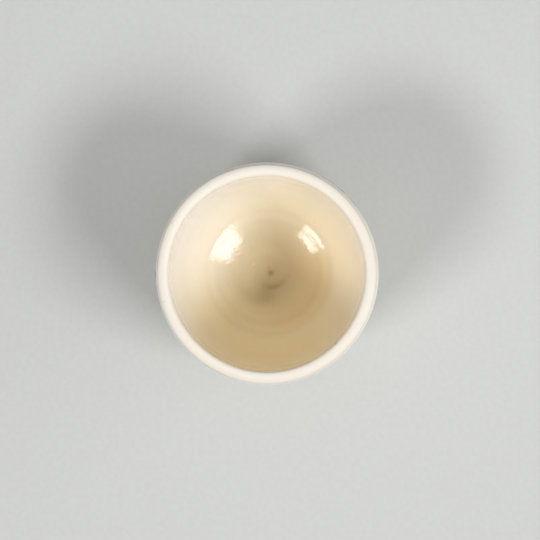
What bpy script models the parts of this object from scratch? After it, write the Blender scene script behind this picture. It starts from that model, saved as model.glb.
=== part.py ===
"""Yunomi teacup: a thrown stoneware bowl on a luted foot ring, an inner and an outer coat of glaze,
and three sprigs of raised enamel on the outside wall.

Metres, +Z up. The origin is the centre of the foot's resting face and +Z is the cup's axis.
"""

import math

import bmesh
import bpy
import numpy as np

# Finished outside and inside of the cup
HEIGHT = 0.078                          # table to the top of the lip
MOUTH_RADIUS = 0.03655                  # outside of the lip
LIP_THICKNESS = 0.0038                  # across the rounded lip
LIP_ROUNDING = 0.0010                   # height of the rounding on top of the lip
LIP_LEAN = math.radians(8.0)            # inward lean of the wall under the lip
BELLY_RADIUS = 0.0383                   # outside, on the widest line
BELLY_HEIGHT = 0.046                    # widest line above the table
BELLY_WALL = 0.0038                     # whole wall on the widest line
HIP_RADIUS = 0.0225                     # where the outer curve meets the underside
HIP_ANGLE = math.radians(24.0)          # slope of the outer curve there
FLOOR_THICKNESS = 0.0055                # floor's centre above the underside
FLOOR_EDGE_RADIUS = 0.023               # where the floor turns up into the wall
FLOOR_EDGE_RISE = 0.0046                # that edge above the floor's centre
FLOOR_EDGE_ANGLE = math.radians(36.0)   # slope of the wall just outside that edge

# How full each wall curve is: its handles as shares of the stretch that they steer
INSIDE_OUTWARD, INSIDE_UPWARD = 0.85, 0.55
OUTSIDE_OUTWARD, OUTSIDE_UPWARD = 0.75, 0.55
NECK_UPWARD = 0.33

# Foot ring
FOOT_HEIGHT = 0.0065                    # table to the bowl's underside
FOOT_RADIUS = 0.0205                    # outside of the ring near the table
FOOT_WALL = 0.0042                      # width of the ring near the table
FOOT_FLARE = 0.0006                     # how much each side of the ring widens up to the bowl
FOOT_BEVEL = 0.0006                     # bevel round the resting face

# Coats and joints
GLAZE = 0.0005                          # thickness of each coat
SEAT_GAP = 0.0003                       # the fused boundary between two pieces
GLAZE_LINE_HEIGHT = 0.0095              # lower edge of the outer coat above the table

# Throwing spiral in the floor: one ridge, winding out against the clock
SPIRAL_PITCH = 0.0070
SPIRAL_RISE = 0.00030                   # height of the ridge near the centre
SPIRAL_FADE = 0.0105                    # radius within which the ridge stands high
SPIRAL_LEFT = 0.05                      # share of its height that is left further out
SPIRAL_PHASE = 0.736                    # turns

# Enamel sprigs
SPRIG_AZIMUTHS = (math.radians(184.3), math.radians(48.0), math.radians(292.0))
SPRIG_BASES = (-0.0210, -0.0164, -0.0290)   # foot of each twig above the belly line, along the wall
SPRIG_HEADINGS = (math.radians(84.0), math.radians(98.0), math.radians(74.0))
SPRIG_BENDS = (0.090, -0.080, 0.070)    # radius of each twig's curve, positive to the left
SPRIG_BERRIED = (True, False, True)     # berries at its end, or one leaf more
LEAF_PAIRS = 3
LEAF_LENGTH = 0.0100
LEAF_WIDTH = 0.0038
LEAF_RISE = 0.00035                     # thickness of a leaf's enamel
LEAF_SPREAD = math.radians(50.0)        # angle between a leaf and its twig
TWIG_STEM = 0.0050                      # twig below its first leaves
TWIG_WIDTH = 0.0010
TWIG_UNDER_LEAF = 0.0030                # twig between its last pair of leaves and the leaf at its end
TWIG_UNDER_BERRY = 0.0040               # twig between its side berries and the berry at its end
BERRY_RADIUS = 0.0016
BERRY_RISE = 0.0006
DAB_CLEARANCE = 0.0012                  # bare glaze between two dabs
DAB_EDGE = 0.00012                      # thickness of a dab at its outline

# Facets
AROUND = 48                             # segments in a full turn
CURVE_STEPS = 120                       # points along each stretch of the finished section
INNER_FACE_STEPS = (16, 10, 4)          # floor, lower wall, upper wall
INNER_BACK_STEPS = (3, 7, 3)
OUTER_FACE_STEPS = (8, 4, 10)           # lip, upper wall, lower wall
OUTER_BACK_STEPS = (6, 3, 8)
LEAF_STEPS = 9
TWIG_STEPS = 11
BERRY_STEPS = 8
ACROSS_DAB = (-1.0, -0.55, 0.0, 0.55, 1.0)   # places of the facets across a dab, in half widths
SMOOTH_ANGLE = math.radians(40.0)
MERGE_DISTANCE = 1e-6

# Colours in linear light
STONEWARE = (0.52, 0.42, 0.30, 1.0)
CREAM_GLAZE = (0.66, 0.55, 0.37, 1.0)
IVORY_GLAZE = (0.86, 0.81, 0.68, 1.0)
LEAF_GREEN = (0.05, 0.07, 0.035, 1.0)
TWIG_BROWN = (0.06, 0.04, 0.025, 1.0)
BERRY_RED = (0.50, 0.06, 0.02, 1.0)
CLAY_ROUGHNESS = 0.8
GLAZE_ROUGHNESS = 0.2
ENAMEL_ROUGHNESS = 0.25


def bezier(start, start_handle, end_handle, end):
    """Points of a cubic curve between two ends, each steered by its handle."""
    t = np.linspace(0.0, 1.0, CURVE_STEPS)[:, None]
    corners = [np.array(corner) for corner in (start, start_handle, end_handle, end)]
    weights = ((1 - t) ** 3, 3 * t * (1 - t) ** 2, 3 * t ** 2 * (1 - t), t ** 3)
    return sum(weight * corner for weight, corner in zip(weights, corners))


def arc(centre, across, up, first, last):
    """Points of an elliptic arc between two angles, from the half axes of its ellipse."""
    angle = np.linspace(first, last, CURVE_STEPS)
    return np.column_stack((centre[0] + across * np.cos(angle), centre[1] + up * np.sin(angle)))


class Section:
    """The finished surface in one radial plane: from the floor's centre, up the inside, over the lip
    and down the outside to the hip, as (radius, height) points with their distance along it."""

    def __init__(self):
        stretches = self.stretches()
        self.points = np.vstack([stretches[0]] + [stretch[1:] for stretch in stretches[1:]])
        steps = np.linalg.norm(np.diff(self.points, axis=0), axis=1)
        self.distance = np.concatenate(([0.0], np.cumsum(steps)))
        self.normals = self.outward_normals()
        ends = [self.distance[(i + 1) * (CURVE_STEPS - 1)] for i in range(len(stretches))]
        self.floor_edge, self.belly_inside, self.lip_inside, self.lip_outside, self.belly, self.hip = ends
        below_belly = self.distance >= self.belly
        self.glaze_line = np.interp(-GLAZE_LINE_HEIGHT, -self.points[below_belly, 1],
                                    self.distance[below_belly])

    @staticmethod
    def stretches():
        """Floor, lower and upper inside wall, lip, upper and lower outside wall, in that order."""
        floor_height = FOOT_HEIGHT + FLOOR_THICKNESS
        floor_curve = (FLOOR_EDGE_RADIUS ** 2 + FLOOR_EDGE_RISE ** 2) / (2 * FLOOR_EDGE_RISE)
        floor_sweep = math.asin(FLOOR_EDGE_RADIUS / floor_curve)
        floor = arc((0.0, floor_height + floor_curve), floor_curve, floor_curve,
                    -math.pi / 2, -math.pi / 2 + floor_sweep)

        half_lip = LIP_THICKNESS / 2
        lip_end = math.atan(LIP_ROUNDING / half_lip * math.tan(LIP_LEAN))
        lip = arc((MOUTH_RADIUS - half_lip, HEIGHT - LIP_ROUNDING), half_lip, LIP_ROUNDING,
                  math.pi + lip_end, lip_end)

        edge = floor[-1]
        belly_inside = np.array((BELLY_RADIUS - BELLY_WALL, BELLY_HEIGHT))
        belly_outside = np.array((BELLY_RADIUS, BELLY_HEIGHT))
        hip = np.array((HIP_RADIUS, FOOT_HEIGHT))
        up = np.array((0.0, 1.0))
        leaning_up = np.array((-math.sin(LIP_LEAN), math.cos(LIP_LEAN)))
        out_of_floor = np.array((math.cos(FLOOR_EDGE_ANGLE), math.sin(FLOOR_EDGE_ANGLE)))
        out_of_foot = np.array((math.cos(HIP_ANGLE), math.sin(HIP_ANGLE)))

        inside_reach = INSIDE_OUTWARD * (belly_inside[0] - edge[0])
        inside_drop = INSIDE_UPWARD * (BELLY_HEIGHT - edge[1])
        outside_reach = OUTSIDE_OUTWARD * (BELLY_RADIUS - HIP_RADIUS)
        outside_drop = OUTSIDE_UPWARD * (BELLY_HEIGHT - FOOT_HEIGHT)
        neck_rise = NECK_UPWARD * (HEIGHT - BELLY_HEIGHT)
        lower_inside = bezier(edge, edge + inside_reach * out_of_floor,
                              belly_inside - inside_drop * up, belly_inside)
        upper_inside = bezier(belly_inside, belly_inside + neck_rise * up,
                              lip[0] - neck_rise * leaning_up, lip[0])
        upper_outside = bezier(lip[-1], lip[-1] - neck_rise * leaning_up,
                               belly_outside + neck_rise * up, belly_outside)
        lower_outside = bezier(belly_outside, belly_outside - outside_drop * up,
                               hip + outside_reach * out_of_foot, hip)
        return floor, lower_inside, upper_inside, lip, upper_outside, lower_outside

    def outward_normals(self):
        """Unit normals of the section that point out of the clay, and straight up on the axis."""
        tangents = np.gradient(self.points, self.distance, axis=0)
        normals = np.column_stack((-tangents[:, 1], tangents[:, 0]))
        normals /= np.linalg.norm(normals, axis=1)[:, None]
        normals[0] = (0.0, 1.0)
        return normals

    def at(self, distance, depth=0.0):
        """Points at the given distances along the section, at a depth below the finished surface."""
        points = [np.interp(distance, self.distance, self.points[:, i]) for i in (0, 1)]
        normals = [np.interp(distance, self.distance, self.normals[:, i]) for i in (0, 1)]
        return np.column_stack([point - depth * normal for point, normal in zip(points, normals)])

    def run(self, marks, steps, depth=0.0):
        """Points from the first mark to the last, with so many steps between each mark and the next."""
        pairs = zip(marks[:-1], marks[1:], steps)
        distances = [np.linspace(first, last, count, endpoint=False) for first, last, count in pairs]
        return self.at(np.concatenate(distances + [[marks[-1]]]), depth)


def principled(name, colour, roughness):
    """A plain glossy or matt material with no metal in it."""
    material = bpy.data.materials.new(name)
    material.use_nodes = True
    shader = material.node_tree.nodes["Principled BSDF"]
    shader.inputs["Base Color"].default_value = colour
    shader.inputs["Roughness"].default_value = roughness
    shader.inputs["Metallic"].default_value = 0.0
    return material


def add_object(name, solid, material, parent):
    """Turns a finished bmesh into a named object with outward faces and smooth shading."""
    bmesh.ops.remove_doubles(solid, verts=solid.verts, dist=MERGE_DISTANCE)
    bmesh.ops.recalc_face_normals(solid, faces=solid.faces)
    mesh = bpy.data.meshes.new(name)
    solid.to_mesh(mesh)
    solid.free()
    mesh.materials.append(material)
    mesh.shade_smooth()
    mesh.set_sharp_from_angle(angle=SMOOTH_ANGLE)
    piece = bpy.data.objects.new(name, mesh)
    piece.parent = parent
    bpy.context.collection.objects.link(piece)
    return piece


def add_empty(name, parent=None):
    """An empty that carries a group of pieces."""
    empty = bpy.data.objects.new(name, None)
    empty.parent = parent
    bpy.context.collection.objects.link(empty)
    return empty


def spin(solid, profile, closed=False):
    """Adds the surface that a (radius, height) profile sweeps in one full turn about +Z."""
    corners = [solid.verts.new((radius, 0.0, height)) for radius, height in profile]
    edges = [solid.edges.new(pair) for pair in zip(corners[:-1], corners[1:])]
    if closed:
        edges.append(solid.edges.new((corners[-1], corners[0])))
    bmesh.ops.spin(solid, geom=corners + edges, cent=(0.0, 0.0, 0.0), axis=(0.0, 0.0, 1.0),
                   angle=2 * math.pi, steps=AROUND, use_merge=True)


def throwing_relief(radius, azimuth):
    """Height of the throwing spiral above the smooth floor. The ridge is a cosine across one pitch; it
    grows from nothing at the centre, sinks further out and dies out just beyond the floor's edge."""
    turns = radius / SPIRAL_PITCH - azimuth / (2 * math.pi) - SPIRAL_PHASE
    ridge = 0.5 + 0.5 * math.cos(2 * math.pi * turns)
    grown = min(1.0, 2 * radius / SPIRAL_PITCH)
    fallen = SPIRAL_LEFT + (1 - SPIRAL_LEFT) * math.exp(-(radius / SPIRAL_FADE) ** 4)
    ended = min(1.0, max(0.0, (FLOOR_EDGE_RADIUS - radius) / SPIRAL_PITCH + 0.5))
    return SPIRAL_RISE * ridge * grown * fallen * ended


def build_bowl(section, parent):
    """The thrown clay: the finished section less the coats, on a flat underside."""
    marks = (0.0, section.floor_edge, section.belly_inside, section.lip_inside, section.lip_outside,
             section.belly, section.glaze_line, section.hip)
    skin = section.run(marks, INNER_BACK_STEPS + OUTER_BACK_STEPS + (1,), GLAZE + SEAT_GAP)
    underside = [(skin[-1, 0], FOOT_HEIGHT), (0.0, FOOT_HEIGHT)]
    solid = bmesh.new()
    spin(solid, np.vstack((skin, underside)))
    add_object("thrown_bowl", solid, principled("stoneware_bowl", STONEWARE, CLAY_ROUGHNESS), parent)


def build_foot_ring(parent):
    """The luted ring: bevelled round its resting face and a little wider at the bowl."""
    top = FOOT_HEIGHT - SEAT_GAP
    inside = FOOT_RADIUS - FOOT_WALL
    profile = [
        (inside - FOOT_FLARE, top),
        (FOOT_RADIUS + FOOT_FLARE, top),
        (FOOT_RADIUS, FOOT_BEVEL),
        (FOOT_RADIUS - FOOT_BEVEL, 0.0),
        (inside + FOOT_BEVEL, 0.0),
        (inside, FOOT_BEVEL),
    ]
    solid = bmesh.new()
    spin(solid, profile, closed=True)
    add_object("foot_ring", solid, principled("stoneware_foot", STONEWARE, CLAY_ROUGHNESS), parent)


def build_inner_glaze(section, parent):
    """The liner coat from the floor's centre to the lip, with the throwing spiral in its floor."""
    marks = (0.0, section.floor_edge, section.belly_inside, section.lip_inside - SEAT_GAP)
    face = section.run(marks, INNER_FACE_STEPS)
    back = section.run(marks, INNER_BACK_STEPS, GLAZE)
    solid = bmesh.new()
    spin(solid, face)
    for vert in solid.verts:
        vert.co.z += throwing_relief(math.hypot(vert.co.x, vert.co.y), math.atan2(vert.co.y, vert.co.x))
    spin(solid, np.vstack((face[-1:], back[::-1])))
    add_object("inner_glaze", solid, principled("cream_glaze", CREAM_GLAZE, GLAZE_ROUGHNESS), parent)


def build_outer_glaze(section, parent):
    """The ivory coat: over the lip from its inner edge, and down the outside to the glaze line."""
    marks = (section.lip_inside, section.lip_outside, section.belly, section.glaze_line)
    face = section.run(marks, OUTER_FACE_STEPS)
    back = section.run(marks, OUTER_BACK_STEPS, GLAZE)
    solid = bmesh.new()
    spin(solid, np.vstack((face, back[::-1])), closed=True)
    add_object("outer_glaze", solid, principled("ivory_glaze", IVORY_GLAZE, GLAZE_ROUGHNESS), parent)


def on_wall(section, spots, lift):
    """Places flat (across, up) spots on the outside wall, at a height above the glaze. Up is measured
    along the wall from the belly line, and across along the belly line from azimuth nought."""
    radius, height = section.at(section.belly - spots[:, 1], -lift).T
    azimuth = spots[:, 0] / BELLY_RADIUS
    return np.column_stack((radius * np.cos(azimuth), radius * np.sin(azimuth), height))


def build_dab(section, name, line, half_widths, rise, material, parent):
    """One raised dab of enamel: a domed ribbon along a flat line, pointed at both ends, on the wall."""
    along = np.gradient(line, axis=0)
    along /= np.linalg.norm(along, axis=1)[:, None]
    sideways = np.column_stack((-along[:, 1], along[:, 0])) * half_widths[:, None]
    crown = (rise - DAB_EDGE) * half_widths / half_widths.max()
    rows = [on_wall(section, line + share * sideways,
                    SEAT_GAP + DAB_EDGE + crown * math.sqrt(1 - share ** 2)) for share in ACROSS_DAB]
    rows.append(on_wall(section, line, np.full(len(line), SEAT_GAP)))
    loops = np.stack(rows, axis=1)

    solid = bmesh.new()
    tips = [solid.verts.new(loops[end, 0]) for end in (0, -1)]
    rings = [[solid.verts.new(corner) for corner in loop] for loop in loops[1:-1]]
    count = len(rows)
    for ring, following in zip(rings[:-1], rings[1:]):
        for i in range(count):
            j = (i + 1) % count
            solid.faces.new((ring[i], ring[j], following[j], following[i]))
    for tip, ring in zip(tips, (rings[0], rings[-1])):
        for i in range(count):
            solid.faces.new((tip, ring[i], ring[(i + 1) % count]))
    add_object(name, solid, material, parent)


def direction(heading):
    """Flat unit vector of a heading."""
    return np.array((math.cos(heading), math.sin(heading)))


def straight_line(start, heading, length, steps):
    """Points on a straight flat line, closer together towards its ends, and their place from -1 to 1."""
    place = -np.cos(np.linspace(0.0, math.pi, steps))
    return start + length / 2 * (1 + place[:, None]) * direction(heading), place


def twig_point(base_up, heading, bend, distance):
    """Place and heading at a distance along a twig, which is an arc of one radius."""
    turned = heading + distance / bend
    across = bend * (math.sin(turned) - math.sin(heading))
    up = base_up + bend * (math.cos(heading) - math.cos(turned))
    return np.array((across, up)), turned


def build_twig(section, name, twig, length, enamel, parent):
    """One twig: a ribbon along its arc, narrowed only near its ends."""
    line = np.array([twig_point(*twig, step)[0] for step in np.linspace(0.0, length, TWIG_STEPS)])
    taper = np.sqrt(1 - np.linspace(-1.0, 1.0, TWIG_STEPS) ** 6)
    build_dab(section, name, line, TWIG_WIDTH / 2 * taper, LEAF_RISE, enamel, parent)


def build_leaf(section, name, start, heading, enamel, parent):
    """One leaf: a lens from its start along a heading."""
    line, place = straight_line(start, heading, LEAF_LENGTH, LEAF_STEPS)
    build_dab(section, name, line, LEAF_WIDTH / 2 * (1 - place ** 2), LEAF_RISE, enamel, parent)


def build_berry(section, name, centre, enamel, parent):
    """One berry: a round dab about its centre."""
    start = centre - BERRY_RADIUS * direction(0.0)
    line, place = straight_line(start, 0.0, 2 * BERRY_RADIUS, BERRY_STEPS)
    half_widths = BERRY_RADIUS * np.sqrt(np.clip(1 - place ** 2, 0.0, 1.0))
    build_dab(section, name, line, half_widths, BERRY_RISE, enamel, parent)


def build_sprig(section, name, azimuth, twig, berried, enamels, parent):
    """One sprig: a bent twig with pairs of leaves, and at its end either a leaf or three berries. The twig
    is given by the height of its foot, its heading there and the radius of its curve."""
    carrier = add_empty(name, parent)
    carrier.rotation_euler.z = azimuth
    sides = ((math.pi / 2, "left"), (-math.pi / 2, "right"))
    leaf_pitch = (LEAF_WIDTH + DAB_CLEARANCE) / math.sin(LEAF_SPREAD)
    leaf_start = (TWIG_WIDTH / 2 + DAB_CLEARANCE / 2) / math.sin(LEAF_SPREAD)
    for pair in range(LEAF_PAIRS):
        joint, along = twig_point(*twig, TWIG_STEM + pair * leaf_pitch)
        for side, word in sides:
            heading = along + math.copysign(LEAF_SPREAD, side)
            build_leaf(section, f"{name}_leaf_{word}_{pair + 1}", joint + leaf_start * direction(heading),
                       heading, enamels["leaf"], carrier)

    last_leaves = TWIG_STEM + (LEAF_PAIRS - 1) * leaf_pitch
    if berried:
        aside = TWIG_WIDTH / 2 + DAB_CLEARANCE / 2 + BERRY_RADIUS
        room = LEAF_WIDTH / 2 + BERRY_RADIUS + DAB_CLEARANCE + aside * math.cos(LEAF_SPREAD)
        side_berries = last_leaves + room / math.sin(LEAF_SPREAD)
        joint, along = twig_point(*twig, side_berries)
        for side, word in sides:
            build_berry(section, f"{name}_berry_{word}", joint + aside * direction(along + side),
                        enamels["berry"], carrier)
        twig_length = side_berries + TWIG_UNDER_BERRY
        end, along = twig_point(*twig, twig_length)
        ahead = DAB_CLEARANCE / 2 + BERRY_RADIUS
        build_berry(section, name + "_berry_tip", end + ahead * direction(along), enamels["berry"], carrier)
    else:
        twig_length = last_leaves + TWIG_UNDER_LEAF
        end, along = twig_point(*twig, twig_length)
        build_leaf(section, name + "_leaf_tip", end + DAB_CLEARANCE / 2 * direction(along), along,
                   enamels["leaf"], carrier)
    build_twig(section, name + "_twig", twig, twig_length, enamels["twig"], carrier)


def main():
    """Clears the scene and builds the cup."""
    for leftover in list(bpy.data.objects):
        bpy.data.objects.remove(leftover)
    cup = add_empty("yunomi_teacup")
    section = Section()
    build_bowl(section, cup)
    build_foot_ring(cup)
    build_inner_glaze(section, cup)
    build_outer_glaze(section, cup)
    enamels = {
        "twig": principled("twig_enamel", TWIG_BROWN, ENAMEL_ROUGHNESS),
        "leaf": principled("leaf_enamel", LEAF_GREEN, ENAMEL_ROUGHNESS),
        "berry": principled("berry_enamel", BERRY_RED, ENAMEL_ROUGHNESS),
    }
    twigs = zip(SPRIG_BASES, SPRIG_HEADINGS, SPRIG_BENDS)
    sprigs = zip(SPRIG_AZIMUTHS, twigs, SPRIG_BERRIED)
    for number, (azimuth, twig, berried) in enumerate(sprigs, start=1):
        build_sprig(section, f"sprig_{number}", azimuth, twig, berried, enamels, cup)


main()
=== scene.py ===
"""Looks of the yunomi teacup: fine surfaces for its clay, glazes and enamel, and a plain studio round it.

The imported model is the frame: every piece here stands where its CAD node stands, in metres, with +Z up.
"""

import math

import bpy
import numpy as np
from bpy.props import BoolVectorProperty, FloatProperty, FloatVectorProperty, IntProperty, PointerProperty
from mathutils import Matrix, Vector


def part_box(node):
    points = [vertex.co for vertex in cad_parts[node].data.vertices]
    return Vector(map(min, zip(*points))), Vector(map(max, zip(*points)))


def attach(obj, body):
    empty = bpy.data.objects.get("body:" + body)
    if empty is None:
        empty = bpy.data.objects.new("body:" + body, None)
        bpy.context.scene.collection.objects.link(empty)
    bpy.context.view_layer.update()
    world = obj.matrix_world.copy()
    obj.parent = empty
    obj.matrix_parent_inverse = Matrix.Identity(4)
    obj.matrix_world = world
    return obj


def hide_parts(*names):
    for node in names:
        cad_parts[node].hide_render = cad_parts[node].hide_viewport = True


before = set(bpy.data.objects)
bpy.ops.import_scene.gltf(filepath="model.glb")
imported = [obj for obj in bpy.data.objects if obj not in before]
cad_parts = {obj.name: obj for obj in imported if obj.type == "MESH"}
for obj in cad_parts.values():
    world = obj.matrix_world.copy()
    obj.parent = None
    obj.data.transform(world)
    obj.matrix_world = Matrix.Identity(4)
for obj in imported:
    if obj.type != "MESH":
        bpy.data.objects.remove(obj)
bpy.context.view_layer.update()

bl_info = {
    "name": "Yunomi Teacup",
    "version": (1, 0, 0),
    "blender": (4, 5, 0),
    "location": "View3D > Sidebar > Yunomi",
    "description": "Builds a wheel-thrown teacup with two glazes and raised enamel sprigs",
    "category": "Add Mesh",
}

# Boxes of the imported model
BOWL_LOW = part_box("thrown_bowl")[0]
FOOT_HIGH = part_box("foot_ring")[1]
COAT_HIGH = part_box("outer_glaze")[1]

# Fineness of the surfaces
AROUND = 288  # columns in a full turn
SECTION_STEP = 0.0001  # metres between two points of the section
CURVE_STEPS = 400  # points in each stretch of the section before it is evened out
ROUNDING_SPREAD = 1.5  # how far from the floor's edge it is rounded, as a share of the rounding's reach
FACE_STEP = 0.0004  # metres between two rows of a glaze's face
LIP_STEP = 0.00016  # metres between two rows over the lip
ROLL_ROWS = (0.0003, 0.0002, 0.00012, 0.00006, 0.00002)  # more rows, close above the outer coat's end
BACK_ROWS = 40  # rows on the hidden back of a glaze
HIDDEN_STEP = 0.0010  # metres between two rows of the clay under the glazes
TRIM_STEP = 0.0003  # metres between two rows of the bare, trimmed clay
UNDERSIDE_ROWS = 90  # rows from the hip to the middle of the underside
FOOT_CORNER_STEPS = 10  # points in a rounded corner of the foot ring
FOOT_SIDE_ROWS = 24  # rows up a side of the foot ring
LEAF_GRID = (41, 15)  # rows along a leaf and columns across its crown
TWIG_GRID = (61, 9)
BERRY_GRID = (25, 17)
DAB_UNDERSIDE = 5  # columns across the hidden underside of a dab, with its two edges
TABLE_GRID = (12, 96)  # rings of the table, with its middle, and points in a ring
SEED = 7

# Unevenness of the throwing: how many waves make it up, and how far their pitches spread
TRIM_WAVES = (3, 0.4)
FINGER_WAVES = (4, 0.35)
LINE_WAVES = (6, 0.5)

# Lobes of the uneven roundness: how many round the cup, their share and their phase
LOBES = ((1, 0.8, 0.0), (2, 0.4, 0.7), (3, 0.6, 5.24), (5, 0.3, 0.86))

# Trimmed clay
TRIM_START = 0.0020  # how far above the glaze line the trimming starts
TRIM_CALM = 0.003  # radius round the axis within which it dies out
TRIM_UNEVEN = 0.4  # share of its height that comes and goes
TRIM_LONG = 5  # steps of the tool from one high place to the next
# Painted shade: the grooves of the trimming lines are coloured darker, on the bowl and on the foot ring
BOWL_GROOVE_SHADE = 0.6  # how dark its grooves are on the bowl
FOOT_GROOVE_SHADE = 0.5  # and on the foot ring
FOOT_TRIM_SHARE = 0.6  # its height on the foot ring, as a share of that on the bowl
LUTED_SHARE = 0.25  # how far the foot ring is sunk into the bowl, as a share of a coat

# Coats of glaze
BREAKING_SHARE = 0.45  # how far a coat's colour breaks at its edge
LINER_EDGE = 0.0006  # reach of the liner's thin edge at the lip
LINER_THINNING = 0.15  # share of the liner that is missing there
COAT_EDGE = 0.0014  # reach of the outer coat's thin edge at the lip
COAT_THINNING = 0.2  # share of the outer coat that is missing there
LIP_CALM = 0.006  # reach from the lip within which the throwing marks die out
FOOT_CALM = 0.004  # reach from the glaze line within which the finger marks die out
WALL_CALM = 0.008  # reach from the floor's edge within which the finger marks grow
AXIS_CALM = 0.004  # reach from the axis within which the fine lines grow
ROLL_PLACE = 0.0011  # top of the outer coat's roll above the glaze line
ROLL_REACH = 0.0009  # half width of that roll
ROLL_SHARE = 0.35  # its rise, as a share of the coat
END_SHARE = 0.9  # share of the coat that is rounded off at the glaze line
THICK_REACH = 0.0016  # reach of the thick glaze above that line
THICK_SHARE = 0.8  # how thick its colour is
SPECK_SHARE = 0.75  # how dark the large iron specks are
LIP_MIDDLE = 0.7  # middle of the lip's duller band, partly thin coat and partly painted shade, as a share of the way over the lip
LIP_OUTER = 0.8  # where it is darker still, as painted shade, on the side towards the lamps
LIP_INNER = 0.15  # and on the far side
LIP_REACH = 0.22  # reach of those two, as a share of the way over the lip
GLAZE_IOR = 1.52
NOISE_RANGE = (0.3, 0.7)  # values of a noise between which a roughness drifts from end to end
MIX_INPUTS = (0, 6, 7)  # sockets of a mixing node for the factor and the two colours
MIX_OUTPUT = 2  # its socket for the mixed colour

# Dabs of enamel
DAB_EDGE = (0.7, 6)  # how thin the enamel is at a dab's outline, and the power of its fall
TWIG_TAPER = 6  # power with which a twig tapers to its ends
TWIG_LEAN = 0.85  # a twig's width between its leaves, as a share of its full width
TWIG_SWELLS = (0.25, 0.3)  # how much wider and higher it is where leaves stand
LEAF_DOME = (0.7, 0.35)  # powers of a leaf's crown across and along it
VEIN_SHARE = 0.55  # depth of a leaf's vein, as a share of its crown
BERRY_DIMPLE = (0.25, 0.45, 0.17)  # depth, place and reach of its dimple, as shares of a berry

# The studio
LAMPS = ("near_softbox", "far_softbox", "white_card")
SENSOR = 36.0  # millimetres across the camera's sensor
NEAREST_SEEN = 0.01  # metres in front of the camera from which it sees
TABLE_ROUGHNESS = 0.65
TABLE_GRAIN = 0.97  # brightness of the table's darker grain, as a share of its colour


def setting(name, description, default, **options):
    """A number that a user may change, or a row of them."""
    if isinstance(default, tuple):
        return FloatVectorProperty(name=name, description=description, default=default, size=len(default),
                                   **options)
    return FloatProperty(name=name, description=description, default=default, **options)


def length(name, description, metres):
    """A distance in metres, or a row of them."""
    return setting(name, description, metres, unit="LENGTH", precision=5)


def angle(name, description, degrees):
    """An angle, or a row of them, given in degrees."""
    radians = tuple(map(math.radians, degrees)) if isinstance(degrees, tuple) else math.radians(degrees)
    return setting(name, description, radians, unit="ROTATION")


def share(name, description, default):
    """A plain number, or a row of them."""
    return setting(name, description, default, precision=3)


def colour(name, description, default):
    """A colour in linear light."""
    return setting(name, description, default, subtype="COLOR", min=0.0, max=1.0)


class CupSizes(bpy.types.PropertyGroup):
    """Finished sizes of the thrown cup."""

    height: length("Height", "Table to the top of the lip", COAT_HIGH.z)
    mouth_radius: length("Mouth radius", "Outside of the lip", 0.03655)
    lip_thickness: length("Lip thickness", "Across the rounded lip", 0.0038)
    lip_rounding: length("Lip rounding", "Height of the rounding on top of the lip", 0.0010)
    lip_lean: angle("Lip lean", "Inward lean of the wall under the lip", 8.0)
    belly_radius: length("Belly radius", "Outside, on the widest line", COAT_HIGH.x)
    belly_height: length("Belly height", "Widest line above the table", 0.046)
    belly_wall: length("Belly wall", "Outside belly less the widest inside radius", 0.0038)
    hip_radius: length("Hip radius", "Where the outer curve meets the underside", 0.0225)
    hip_angle: angle("Hip angle", "Slope of the outer curve at the hip", 24.0)
    underside: length("Underside", "Table to the bowl's underside", BOWL_LOW.z)
    floor_thickness: length("Floor thickness", "Floor's centre above the underside", 0.0055)
    floor_edge_radius: length("Floor edge radius", "Where the floor turns up into the wall", 0.023)
    floor_edge_rise: length("Floor edge rise", "That edge above the floor's centre", 0.0046)
    floor_edge_angle: angle("Floor edge angle", "Slope of the wall just outside that edge", 36.0)
    floor_edge_softness: length("Floor edge softness", "Reach of the rounding at that edge", 0.0016)
    inside_outward: share("Inside outward", "Handle of the inner curve at the floor, as a share of its reach",
                          0.85)
    inside_upward: share("Inside upward", "Handle of the inner curve at the belly, as a share of its rise",
                         0.55)
    outside_outward: share("Outside outward", "Handle of the outer curve at the hip, as a share of its reach",
                           0.75)
    outside_upward: share("Outside upward", "Handle of the outer curve at the belly, as a share of its rise",
                          0.55)
    neck_upward: share("Neck upward", "Handles of the curves above the belly, as a share of their rise", 0.33)
    foot_radius: length("Foot radius", "Outside of the foot ring at the bowl", FOOT_HIGH.x)
    foot_wall: length("Foot wall", "Width of the foot ring near the table", 0.0042)
    foot_flare: length("Foot flare", "How much each side of the ring widens up to the bowl", 0.0006)
    foot_bevel: length("Foot bevel", "Rounding of the ring's resting face", 0.0006)
    slip_fillet: length("Slip fillet", "Rounding of the slip between the ring and the bowl", 0.0011)
    glaze: length("Glaze", "Thickness of each coat", 0.0005)
    glaze_line: length("Glaze line", "Lower edge of the outer coat above the table", 0.0095)
    oval: length("Oval", "How far the hand-thrown mouth is from a true circle", 0.00012)


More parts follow.
